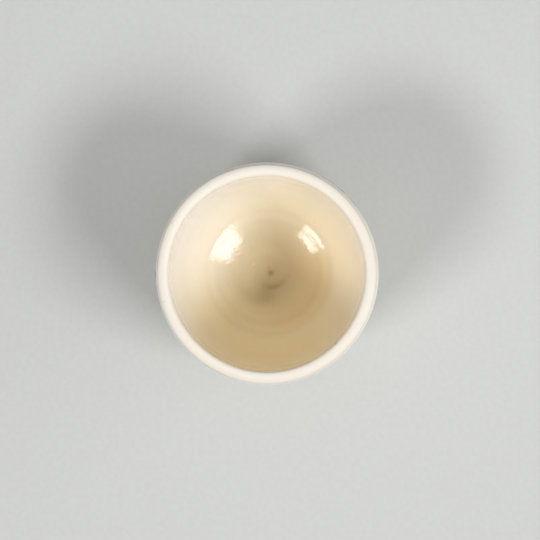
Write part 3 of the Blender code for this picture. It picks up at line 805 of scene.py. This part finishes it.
def build_foot_ring(sizes, marks, finishes):
    """The luted ring: its loop runs over the top, down the outside, round the bevelled resting face and up
    the inside. Its sides flare with the square of the climb between quarter circles for the bevels and the
    slip fillets, and carry shallow trimming steps."""
    azimuth = columns_round()
    outside = sizes.foot_radius - sizes.foot_flare
    inside = outside - sizes.foot_wall
    bevel, fillet = sizes.foot_bevel, sizes.slip_fillet
    shoulder = sizes.underside + LUTED_SHARE * sizes.glaze - fillet
    rise = np.linspace(bevel, shoulder, FOOT_SIDE_ROWS)[1:-1]
    flare = sizes.foot_flare * ((rise - bevel) / (shoulder - bevel)) ** 2
    quarter = math.pi / 2
    corners = (
        (sizes.foot_radius + fillet, shoulder, fillet, quarter, math.pi),
        (outside - bevel, bevel, bevel, 0.0, -quarter),
        (inside + bevel, bevel, bevel, -quarter, -math.pi),
        (inside - sizes.foot_flare - fillet, shoulder, fillet, 0.0, quarter),
    )
    outer_fillet, outer_bevel, inner_bevel, inner_fillet = [
        arc((across, up), reach, reach, first, last, FOOT_CORNER_STEPS)
        for across, up, reach, first, last in corners]
    outer_side = np.column_stack((outside + flare, rise))[::-1]
    inner_side = np.column_stack((inside - flare, rise))
    loop = np.vstack((outer_fillet, outer_side, outer_bevel, inner_bevel, inner_side, inner_fillet))
    turned, level = loop[:, :1], loop[:, 1:]
    on_side = np.exp(-((level - sizes.underside / 2) / (sizes.underside / 3)) ** 4)
    steps = trim_steps(level, azimuth, marks) * on_side
    outward = np.sign(turned - (outside + inside) / 2)
    turned = turned - outward * FOOT_TRIM_SHARE * marks.trim_rise * steps
    points = place_round(turned, level, azimuth, sizes)
    # Painted shade: the trimming grooves are coloured darker
    mesh = closed_surface("foot_ring_clay", points, {"pool": FOOT_GROOVE_SHADE * steps}, wrap_rows=True)
    material = clay_material("stoneware_foot_finish", finishes)
    add_piece("foot_ring_clay", mesh, material, "foot_ring")


def from_middle(radius, azimuth, spot):
    """Distance of points of the floor from the middle of a spot, whose row has its size and its middle."""
    return np.hypot(radius * np.cos(azimuth) - spot[1], radius * np.sin(azimuth) - spot[2])


def round_spot(radius, azimuth, spot):
    """A bell about the middle of a spot on the floor."""
    return bell(from_middle(radius, azimuth, spot), spot[0])


def floor_relief(radius, azimuth, sizes, marks):
    """Height of the throwing spiral and of the ring at the floor's edge, a bell across its circle that is
    higher on one side, less the depth of the two dents, which are bells."""
    ring_height = marks.ring_rise + marks.ring_swell * one_sided(azimuth, marks.ring_side)
    ring = ring_height * bell(from_middle(radius, azimuth, marks.ring) - marks.ring[0], marks.ring_width)
    hollows = (marks.pit_depth * round_spot(radius, azimuth, marks.pit)
               + marks.dimple_depth * round_spot(radius, azimuth, marks.dimple))
    return floor_spiral(radius, azimuth, sizes, marks) + ring - hollows


def dark_crescents(radius, azimuth, marks):
    """The two dark crescents: bells across and along arcs, each of a width and a darkness of its own."""
    arcs = zip(marks.crescent_radii, marks.crescent_climbs, marks.crescent_azimuths, marks.crescent_spans,
               marks.crescent_widths, marks.crescent_shares)
    darkness = 0.0
    for middle, climb, way, span, width, darkened in arcs:
        turn = turn_between(azimuth, way)
        darkness = darkness + darkened * bell(radius - middle - climb * turn, width) * bell(turn, span)
    return darkness


def liner_tints(radius, azimuth, height, sizes, marks):
    """How tan, how dark and how warm the liner glaze is. It turns tan with the depth in the cup and, as
    painted shade, further up on its shaded sides; as painted light it is less tan in the lit arc beyond the
    floor's edge. It is darker in the wide spot, partly from glaze that has run together and partly as painted
    shade, in the smear and in the band round the floor, which are painted shade and of which the band fades
    by a cosine to nothing on its far side, in the crescents and the dents, partly from settled glaze and
    partly as painted shade, in the grooves, and in the warm arc, which is painted shade. As painted shade it
    is warmer on one side of the floor and in the warm arc. All of these but the depth are bells, and the two
    arcs die out round the cup."""
    sunk = (sizes.height - height) / (sizes.height - sizes.underside - sizes.floor_thickness)
    # Painted shade and light: tan reaches further up on the shaded sides and less far on the lit ones
    side_shade = (marks.shaded_side_shares[0] * np.cos(azimuth - marks.shaded_sides[0])
               + marks.shaded_side_shares[1] * np.cos(2 * (azimuth - marks.shaded_sides[1])))
    off_floor = held((1 - sunk) / marks.even_share)
    on_side = one_sided(azimuth, marks.warm_side)
    # Painted light: a lit arc, less tan; painted shade: a warmer, darker arc inside it, both on one side
    painted_light = bell(radius - marks.painted_light[0], marks.painted_light[1]) * on_side
    warm = bell(radius - marks.warm[0], marks.warm[1]) * on_side
    # Painted shade: a darker band round the floor, strongest on one side
    shade = bell(radius - marks.shade[0], marks.shade[1]) * raised(azimuth - marks.shade_side)
    grooves = sum(bell(radius - middle, marks.groove_width) for middle in marks.groove_radii)
    depth = held((sunk + side_shade * off_floor - marks.tan_start) / marks.tan_reach)
    depth = depth * (1 - marks.painted_light_share * painted_light)
    # Darker: partly from glaze that has run together and settled, partly painted shade
    pool = held(marks.pool_and_shade_share * round_spot(radius, azimuth, marks.pool)
                + marks.smear_share * round_spot(radius, azimuth, marks.smear)
                + dark_crescents(radius, azimuth, marks)
                + marks.dent_shares[0] * round_spot(radius, azimuth, marks.pit)
                + marks.dent_shares[1] * round_spot(radius, azimuth, marks.dimple)
                + marks.shade_share * shade + marks.groove_share * grooves + marks.warm_shares[1] * warm)
    # Painted shade colour: warmer on one side of the floor and in the warm arc
    warmth = held(marks.shade_warmth_share * round_spot(radius, azimuth, marks.shade_warmth) + marks.warm_shares[0] * warm)
    return depth, pool, warmth


def build_inner_glaze(sizes, marks, finishes):
    """The liner coat: the section from the floor's centre to the lip with the throwing spiral, the dents at
    its centre, the ring at the floor's edge, finger marks and fine lines, closed by its back, which is the
    section one coat down."""
    section = Section(sizes)
    azimuth = columns_round()
    distance = rows_between(0.0, section.lip_inside, FACE_STEP)[:, None]
    radius, height = section.at(distance)
    fingers, lines = throwing_marks(distance, azimuth, marks, SEED + 1)
    on_wall = held((distance - section.floor_edge) / WALL_CALM)
    off_lip = held((section.lip_inside - distance) / LIP_CALM)
    thrown = (fingers * on_wall + lines * held(radius / AXIS_CALM)) * off_lip
    thin = edge_thinning(distance, section.lip_inside, LINER_EDGE)
    relief = floor_relief(radius, azimuth, sizes, marks) + thrown - LINER_THINNING * sizes.glaze * thin
    depth, pool, warmth = liner_tints(radius, azimuth, height, sizes, marks)
    # The depth, darkening and warmth carry painted shade and painted light as well as the glaze's own colour
    values = {"depth": depth, "pool": pool, "shade_warmth": warmth, "thin": BREAKING_SHARE * thin}
    mesh = coat_mesh("inner_glaze_skin", section, sizes, distance, relief, values)
    add_piece("inner_glaze_skin", mesh, inner_glaze_material(finishes), "inner_glaze")


def lip_tint(over_lip, azimuth, marks):
    """How dull the coat is over the lip: a wide bell across it, partly thin coat and partly painted shade,
    and narrow bells of painted shade near its outer edge on the side towards the lamps and near its inner
    edge on the far side."""
    # Painted shade on the lip's faces towards the lamps
    shaded = raised(azimuth - marks.lip_shade_side)
    lip_shade = (bell(over_lip - LIP_OUTER, LIP_REACH) * shaded
                + bell(over_lip - LIP_INNER, LIP_REACH) * (1 - shaded))
    return marks.lip_share * bell(over_lip - LIP_MIDDLE, 1.0) + marks.lip_shade_share * lip_shade


def build_outer_glaze(sizes, marks, finishes):
    """The ivory coat: the section from the lip's inner edge over the lip and down to the glaze line, where
    the coat ends in a bell-shaped roll with a rounded end, with finger marks and fine lines, closed by its
    back one coat down."""
    section = Section(sizes)
    azimuth = columns_round()
    lip_rows = rows_between(section.lip_inside, section.lip_outside, LIP_STEP)
    wall_rows = rows_between(section.lip_outside, section.glaze_line, FACE_STEP)[1:]
    roll_rows = section.glaze_line - np.array(ROLL_ROWS)
    distance = np.sort(np.concatenate((lip_rows, wall_rows, roll_rows)))[:, None]
    to_line = section.glaze_line - distance
    from_lip = distance - section.lip_inside
    fingers, lines = throwing_marks(distance, azimuth, marks, SEED + 3)
    off_lip = held((distance - section.lip_outside) / LIP_CALM)
    thrown = (fingers * held(to_line / FOOT_CALM) + lines) * off_lip
    thin = edge_thinning(distance, section.lip_inside, COAT_EDGE)
    roll = ROLL_SHARE * sizes.glaze * bell(to_line - ROLL_PLACE, ROLL_REACH)
    rounding = sizes.glaze * (1 - np.sqrt(held(1 - (1 - held(to_line / ROLL_REACH)) ** 2)))
    relief = thrown - COAT_THINNING * sizes.glaze * thin + roll - END_SHARE * rounding
    specks = sum(bell(np.hypot(from_lip - along, turn_between(azimuth, way) * sizes.mouth_radius),
                      marks.speck_radius) for along, way in zip(marks.speck_places, marks.speck_azimuths))
    # The lip value is partly thin coat and partly painted shade
    values = {
        "pool": THICK_SHARE * bell(to_line, THICK_REACH),
        "lip": lip_tint(from_lip / (section.lip_outside - section.lip_inside), azimuth, marks),
        "speck": SPECK_SHARE * specks,
        "thin": BREAKING_SHARE * thin,
    }
    mesh = coat_mesh("outer_glaze_skin", section, sizes, distance, relief, values, wrap_rows=True)
    add_piece("outer_glaze_skin", mesh, outer_glaze_material(finishes), "outer_glaze")


# The enamel sprigs

def wall_points(section, sizes, spots, lift, azimuth):
    """Places flat (across, up) spots on the outside wall, lifted off the glaze. Up is measured along the
    wall from the belly line, and across along the belly line from the sprig's azimuth."""
    radius, height = section.at(section.belly - spots[..., 1], lift)
    turned = azimuth + spots[..., 0] / sizes.belly_radius
    return place_round(radius, height, turned, sizes)


def twig_place(base, heading, bend, distance):
    """Flat place and heading at distances along a twig, which is an arc of one radius."""
    turned = heading + distance / bend
    across = bend * (np.sin(turned) - math.sin(heading))
    up = base + bend * (math.cos(heading) - np.cos(turned))
    return np.stack((across, up), axis=-1), turned


def across_dab(count):
    """Places across a dab's crown from -1 to 1, closer together towards its outline."""
    return np.sin(np.linspace(-math.pi / 2, math.pi / 2, count))[None, :]


def dab_mesh(name, section, sizes, enamel, azimuth, line, half_width, crown):
    """One dab of enamel: a ribbon along a flat line, as wide as the half widths, under a grid of crown
    heights. Its underside is sunk into the glaze, and both of its ends are points."""
    along = np.gradient(line, axis=0)
    along /= np.linalg.norm(along, axis=1)[:, None]
    side = np.stack((-along[:, 1], along[:, 0]), axis=-1) * half_width[:, None]
    over = across_dab(crown.shape[1])[0]
    under = np.linspace(1.0, -1.0, DAB_UNDERSIDE)[1:-1]
    sideways = np.concatenate((over, under))
    spots = line[:, None, :] + sideways[None, :, None] * side[:, None, :]
    lift = np.concatenate((crown, np.full((len(line), len(under)), -2 * enamel.sink)), axis=1)
    lift[:, [0, len(over) - 1]] = -enamel.sink
    points = wall_points(section, sizes, spots, lift, azimuth)
    thinness, fall = DAB_EDGE
    return closed_surface(name, points, {"thin": thinness * np.abs(sideways)[None, :] ** fall})


def sprigs(enamel):
    """Name, azimuth, (base, heading, bend) of the twig and whether it has berries, for each sprig."""
    twigs = zip(enamel.bases, enamel.headings, enamel.bends)
    rows = zip(enamel.azimuths, twigs, enamel.berried)
    return [(f"sprig_{number}", *row) for number, row in enumerate(rows, start=1)]


def leaf_joints(enamel):
    """Distances along a twig at which its pairs of leaves stand."""
    pitch = (enamel.leaf_width + enamel.clearance) / math.sin(enamel.leaf_spread)
    return enamel.twig_stem + pitch * np.arange(enamel.leaf_pairs)


def berry_side(enamel):
    """Middle of a side berry from the middle of its twig."""
    return enamel.twig_width / 2 + enamel.clearance / 2 + enamel.berry_radius


def side_berries(enamel):
    """Distance along a twig at which its side berries stand, clear of its last leaves."""
    room = (enamel.leaf_width / 2 + enamel.berry_radius + enamel.clearance
            + berry_side(enamel) * math.cos(enamel.leaf_spread))
    return leaf_joints(enamel)[-1] + room / math.sin(enamel.leaf_spread)


def twig_length(enamel, berried):
    """Whole length of a twig."""
    if berried:
        return side_berries(enamel) + enamel.twig_under_berry
    return leaf_joints(enamel)[-1] + enamel.twig_under_leaf


def twig_shape(enamel, twig, whole):
    """Line, half widths and crown of a half-round ribbon along the twig's arc that tapers to both ends and
    swells where the leaves stand."""
    distance = np.linspace(0.0, whole, TWIG_GRID[0])
    line, _ = twig_place(*twig, distance)
    taper = np.sqrt(held(1 - (2 * distance / whole - 1) ** TWIG_TAPER))
    swell = bell(distance[:, None] - leaf_joints(enamel), enamel.twig_swell).sum(axis=1)
    wider, higher = TWIG_SWELLS
    half_width = enamel.twig_width / 2 * taper * (TWIG_LEAN + wider * swell)
    over = across_dab(TWIG_GRID[1])
    crown = enamel.leaf_rise * (taper * (1 + higher * swell))[:, None] * np.sqrt(1 - over ** 2)
    return line, half_width, crown


def leaf_shape(enamel, foot, heading, bow):
    """Line, half widths and crown of a lens from its foot along a heading, with a bowed midline, a low crown
    and a groove for the vein."""
    along = -np.cos(np.linspace(0.0, math.pi, LEAF_GRID[0]))
    reach = enamel.leaf_length / 2 * (1 + along)
    sway = bow * enamel.leaf_sway * (1 - along ** 2)
    line = foot + reach[:, None] * direction(heading) + sway[:, None] * direction(heading + math.pi / 2)
    half_width = enamel.leaf_width / 2 * (1 - along ** 2)
    over = across_dab(LEAF_GRID[1])
    vein = bell(over * half_width[:, None], enamel.vein_width) * (1 - along[:, None] ** 4)
    dome = np.sqrt(1 - over ** 2) ** LEAF_DOME[0] * (1 - along[:, None] ** 2) ** LEAF_DOME[1]
    return line, half_width, enamel.leaf_rise * dome * (1 - VEIN_SHARE * vein)


def berry_shape(enamel, centre, heading):
    """Line, half widths and crown of a round dome, with a dimple on the far side from the twig."""
    along = -np.cos(np.linspace(0.0, math.pi, BERRY_GRID[0]))
    line = centre + (enamel.berry_radius * along)[:, None] * direction(heading)
    half_width = enamel.berry_radius * np.sqrt(held(1 - along ** 2))
    aside = across_dab(BERRY_GRID[1]) * half_width[:, None] / enamel.berry_radius
    inside = held(1 - along[:, None] ** 2 - aside ** 2)
    depth, place, reach = BERRY_DIMPLE
    dimple = depth * bell(np.hypot(along[:, None] - place, aside), reach) * inside
    return line, half_width, enamel.berry_rise * (np.sqrt(inside) - dimple)


def paint(kind, dabs, sizes, enamel, finishes):
    """Adds the dabs of one kind, each given by its name, its sprig's azimuth and its shape."""
    section = Section(sizes)
    word = kind + "_enamel"
    material = enamel_material(word + "_finish", getattr(finishes, kind), getattr(finishes, kind + "_thin"))
    for name, azimuth, shape in dabs:
        mesh = dab_mesh(name, section, sizes, enamel, azimuth, *shape)
        add_piece(name + "_enamel", mesh, material, name)


def build_twigs(sizes, enamel, finishes):
    """The brown twigs, one to a sprig."""
    dabs = [(sprig + "_twig", azimuth, twig_shape(enamel, twig, twig_length(enamel, berried)))
            for sprig, azimuth, twig, berried in sprigs(enamel)]
    paint("twig", dabs, sizes, enamel, finishes)


def build_leaves(sizes, enamel, finishes):
    """The green leaves: pairs along each twig, and one at the end of a twig without berries."""
    start = (enamel.twig_width / 2 + enamel.clearance / 2) / math.sin(enamel.leaf_spread)
    dabs = []
    for sprig, azimuth, twig, berried in sprigs(enamel):
        for pair, distance in enumerate(leaf_joints(enamel), start=1):
            joint, along = twig_place(*twig, distance)
            for turn, word in ((1, "left"), (-1, "right")):
                heading = along + turn * enamel.leaf_spread
                shape = leaf_shape(enamel, joint + start * direction(heading), heading, -turn)
                dabs.append((f"{sprig}_leaf_{word}_{pair}", azimuth, shape))
        if not berried:
            end, along = twig_place(*twig, twig_length(enamel, berried))
            shape = leaf_shape(enamel, end + enamel.clearance / 2 * direction(along), along, 1)
            dabs.append((sprig + "_leaf_tip", azimuth, shape))
    paint("leaf", dabs, sizes, enamel, finishes)


def build_berries(sizes, enamel, finishes):
    """The red berries: two beside the twig and one at its end."""
    dabs = []
    for sprig, azimuth, twig, berried in sprigs(enamel):
        if not berried:
            continue
        joint, along = twig_place(*twig, side_berries(enamel))
        end, onward = twig_place(*twig, twig_length(enamel, berried))
        berries = (
            ("left", joint, berry_side(enamel), along + math.pi / 2),
            ("right", joint, berry_side(enamel), along - math.pi / 2),
            ("tip", end, enamel.clearance / 2 + enamel.berry_radius, onward),
        )
        for word, start, reach, heading in berries:
            shape = berry_shape(enamel, start + reach * direction(heading), heading)
            dabs.append((f"{sprig}_berry_{word}", azimuth, shape))
    paint("berry", dabs, sizes, enamel, finishes)


# The stage

def facing(place, target, up):
    """A matrix at a place whose -Z looks at the target, with its Y as near to up as that allows."""
    back = (Vector(place) - Vector(target)).normalized()
    right = Vector(up).cross(back).normalized()
    above = back.cross(right)
    turned = Matrix((right, above, back)).transposed().to_4x4()
    return Matrix.Translation(Vector(place)) @ turned


def add_softbox(name, azimuth, distance, height, width, upright, power):
    """A rectangular lamp that stands upright and faces the cup's axis."""
    lamp = bpy.data.lights.new(name, "AREA")
    lamp.shape = "RECTANGLE"
    lamp.size = width
    lamp.size_y = upright
    lamp.energy = power
    piece = bpy.data.objects.new(name, lamp)
    piece.visible_camera = False
    bpy.context.scene.collection.objects.link(piece)
    spot = (distance * math.cos(azimuth), distance * math.sin(azimuth), height)
    piece.matrix_world = facing(spot, (0.0, 0.0, height), (0.0, 0.0, 1.0))


def add_room(studio):
    """An even room: one brightness that lights the cup, and a paler one that is seen, also in reflections."""
    world = bpy.data.worlds.new("room")
    world.use_nodes = True
    bpy.context.scene.world = world
    tree = world.node_tree
    path = add_node(tree, "ShaderNodeLightPath")
    rays = {0: path.outputs["Is Camera Ray"], 1: path.outputs["Is Glossy Ray"]}
    sees = add_node(tree, "ShaderNodeMath", rays, operation="MAXIMUM").outputs["Value"]
    lit = {"Value": sees, "To Min": studio.room_light, "To Max": studio.room_seen}
    background = tree.nodes["Background"]
    tree.links.new(add_node(tree, "ShaderNodeMapRange", lit).outputs["Result"], background.inputs["Strength"])
    background.inputs["Color"].default_value = (1.0, 1.0, 1.0, 1.0)


def add_table(studio, finishes):
    """A round table top: rings that grow with the square of their share, each a circle of points."""
    rings, around = TABLE_GRID
    reaches = studio.table_radius * np.linspace(0.0, 1.0, rings)[1:] ** 2
    azimuth = np.linspace(0.0, 2 * math.pi, around, endpoint=False)
    ring = np.stack((np.cos(azimuth), np.sin(azimuth), 0 * azimuth), axis=-1)
    spots = np.vstack((np.zeros((1, 3)), (reaches[:, None, None] * ring).reshape(-1, 3)))
    column = np.arange(around)
    following = (column + 1) % around
    middle = np.stack((0 * column, 1 + column, 1 + following), axis=1)
    faces = grid_faces(len(reaches), around, False) + 1
    mesh = bpy.data.meshes.new("table_top")
    mesh.from_pydata(spots.tolist(), [], middle.tolist() + faces.tolist())
    mesh.materials.append(table_material(finishes))
    table = bpy.data.objects.new("table_top", mesh)
    bpy.context.scene.collection.objects.link(table)


def build_stage(studio, finishes):
    """The table, three soft lamps, an even room and a camera that looks down into the cup."""
    add_table(studio, finishes)
    lamps = zip(LAMPS, studio.lamp_azimuths, studio.lamp_distances, studio.lamp_heights, studio.lamp_widths,
                studio.lamp_uprights, studio.lamp_powers)
    for lamp in lamps:
        add_softbox(*lamp)
    add_room(studio)

    lens = bpy.data.cameras.new("overhead_camera")
    lens.lens = studio.lens
    lens.sensor_width = SENSOR
    lens.clip_start = NEAREST_SEEN
    camera = bpy.data.objects.new("overhead_camera", lens)
    bpy.context.scene.collection.objects.link(camera)
    camera.matrix_world = facing(studio.camera_place, studio.camera_aim, (0.0, 1.0, 0.0))
    bpy.context.scene.camera = camera
    bpy.context.scene.view_settings.view_transform = "Standard"


# Operators

class YUNOMI_OT_thrown_bowl(bpy.types.Operator):
    """Build the thrown clay bowl"""
    bl_idname = "yunomi.thrown_bowl"
    bl_label = "Thrown Bowl"

    def execute(self, context):
        scene = context.scene
        build_thrown_bowl(scene.yunomi_sizes, scene.yunomi_marks, scene.yunomi_finishes)
        return {"FINISHED"}


class YUNOMI_OT_foot_ring(bpy.types.Operator):
    """Build the foot ring that is luted under the bowl"""
    bl_idname = "yunomi.foot_ring"
    bl_label = "Foot Ring"

    def execute(self, context):
        scene = context.scene
        build_foot_ring(scene.yunomi_sizes, scene.yunomi_marks, scene.yunomi_finishes)
        return {"FINISHED"}


class YUNOMI_OT_inner_glaze(bpy.types.Operator):
    """Build the cream liner glaze with its throwing spiral"""
    bl_idname = "yunomi.inner_glaze"
    bl_label = "Inner Glaze"

    def execute(self, context):
        scene = context.scene
        build_inner_glaze(scene.yunomi_sizes, scene.yunomi_marks, scene.yunomi_finishes)
        return {"FINISHED"}


class YUNOMI_OT_outer_glaze(bpy.types.Operator):
    """Build the ivory glaze over the lip and the outside"""
    bl_idname = "yunomi.outer_glaze"
    bl_label = "Outer Glaze"

    def execute(self, context):
        scene = context.scene
        build_outer_glaze(scene.yunomi_sizes, scene.yunomi_marks, scene.yunomi_finishes)
        return {"FINISHED"}


class YUNOMI_OT_twigs(bpy.types.Operator):
    """Build the enamel twigs"""
    bl_idname = "yunomi.twigs"
    bl_label = "Enamel Twigs"

    def execute(self, context):
        scene = context.scene
        build_twigs(scene.yunomi_sizes, scene.yunomi_enamel, scene.yunomi_finishes)
        return {"FINISHED"}


class YUNOMI_OT_leaves(bpy.types.Operator):
    """Build the enamel leaves"""
    bl_idname = "yunomi.leaves"
    bl_label = "Enamel Leaves"

    def execute(self, context):
        scene = context.scene
        build_leaves(scene.yunomi_sizes, scene.yunomi_enamel, scene.yunomi_finishes)
        return {"FINISHED"}


class YUNOMI_OT_berries(bpy.types.Operator):
    """Build the enamel berries"""
    bl_idname = "yunomi.berries"
    bl_label = "Enamel Berries"

    def execute(self, context):
        scene = context.scene
        build_berries(scene.yunomi_sizes, scene.yunomi_enamel, scene.yunomi_finishes)
        return {"FINISHED"}


class YUNOMI_OT_stage(bpy.types.Operator):
    """Build the table, the lamps, the room and the camera"""
    bl_idname = "yunomi.stage"
    bl_label = "Stage"

    def execute(self, context):
        scene = context.scene
        build_stage(scene.yunomi_studio, scene.yunomi_finishes)
        return {"FINISHED"}


class VIEW3D_PT_yunomi(bpy.types.Panel):
    """Lists the pieces of the cup"""
    bl_idname = "VIEW3D_PT_yunomi"
    bl_label = "Yunomi Teacup"
    bl_space_type = "VIEW_3D"
    bl_region_type = "UI"
    bl_category = "Yunomi"

    def draw(self, context):
        for operator in OPERATORS:
            self.layout.operator(operator.bl_idname)


OPERATORS = (YUNOMI_OT_thrown_bowl, YUNOMI_OT_foot_ring, YUNOMI_OT_inner_glaze, YUNOMI_OT_outer_glaze,
             YUNOMI_OT_twigs, YUNOMI_OT_leaves, YUNOMI_OT_berries, YUNOMI_OT_stage)
GROUPS = {
    "yunomi_sizes": CupSizes,
    "yunomi_marks": ThrowingMarks,
    "yunomi_enamel": EnamelSizes,
    "yunomi_finishes": Finishes,
    "yunomi_studio": Studio,
}


def register():
    """Registers the settings, the operators and the panel."""
    for group in (*GROUPS.values(), *OPERATORS, VIEW3D_PT_yunomi):
        bpy.utils.register_class(group)
    for word, group in GROUPS.items():
        setattr(bpy.types.Scene, word, PointerProperty(type=group))


def unregister():
    """Takes back what register has done."""
    for word in GROUPS:
        delattr(bpy.types.Scene, word)
    for group in reversed((*GROUPS.values(), *OPERATORS, VIEW3D_PT_yunomi)):
        bpy.utils.unregister_class(group)


def main():
    """Registers the add-on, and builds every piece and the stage."""
    register()
    bpy.ops.yunomi.thrown_bowl()
    bpy.ops.yunomi.foot_ring()
    bpy.ops.yunomi.inner_glaze()
    bpy.ops.yunomi.outer_glaze()
    bpy.ops.yunomi.twigs()
    bpy.ops.yunomi.leaves()
    bpy.ops.yunomi.berries()
    bpy.ops.yunomi.stage()


if __name__ == "__main__":
    main()
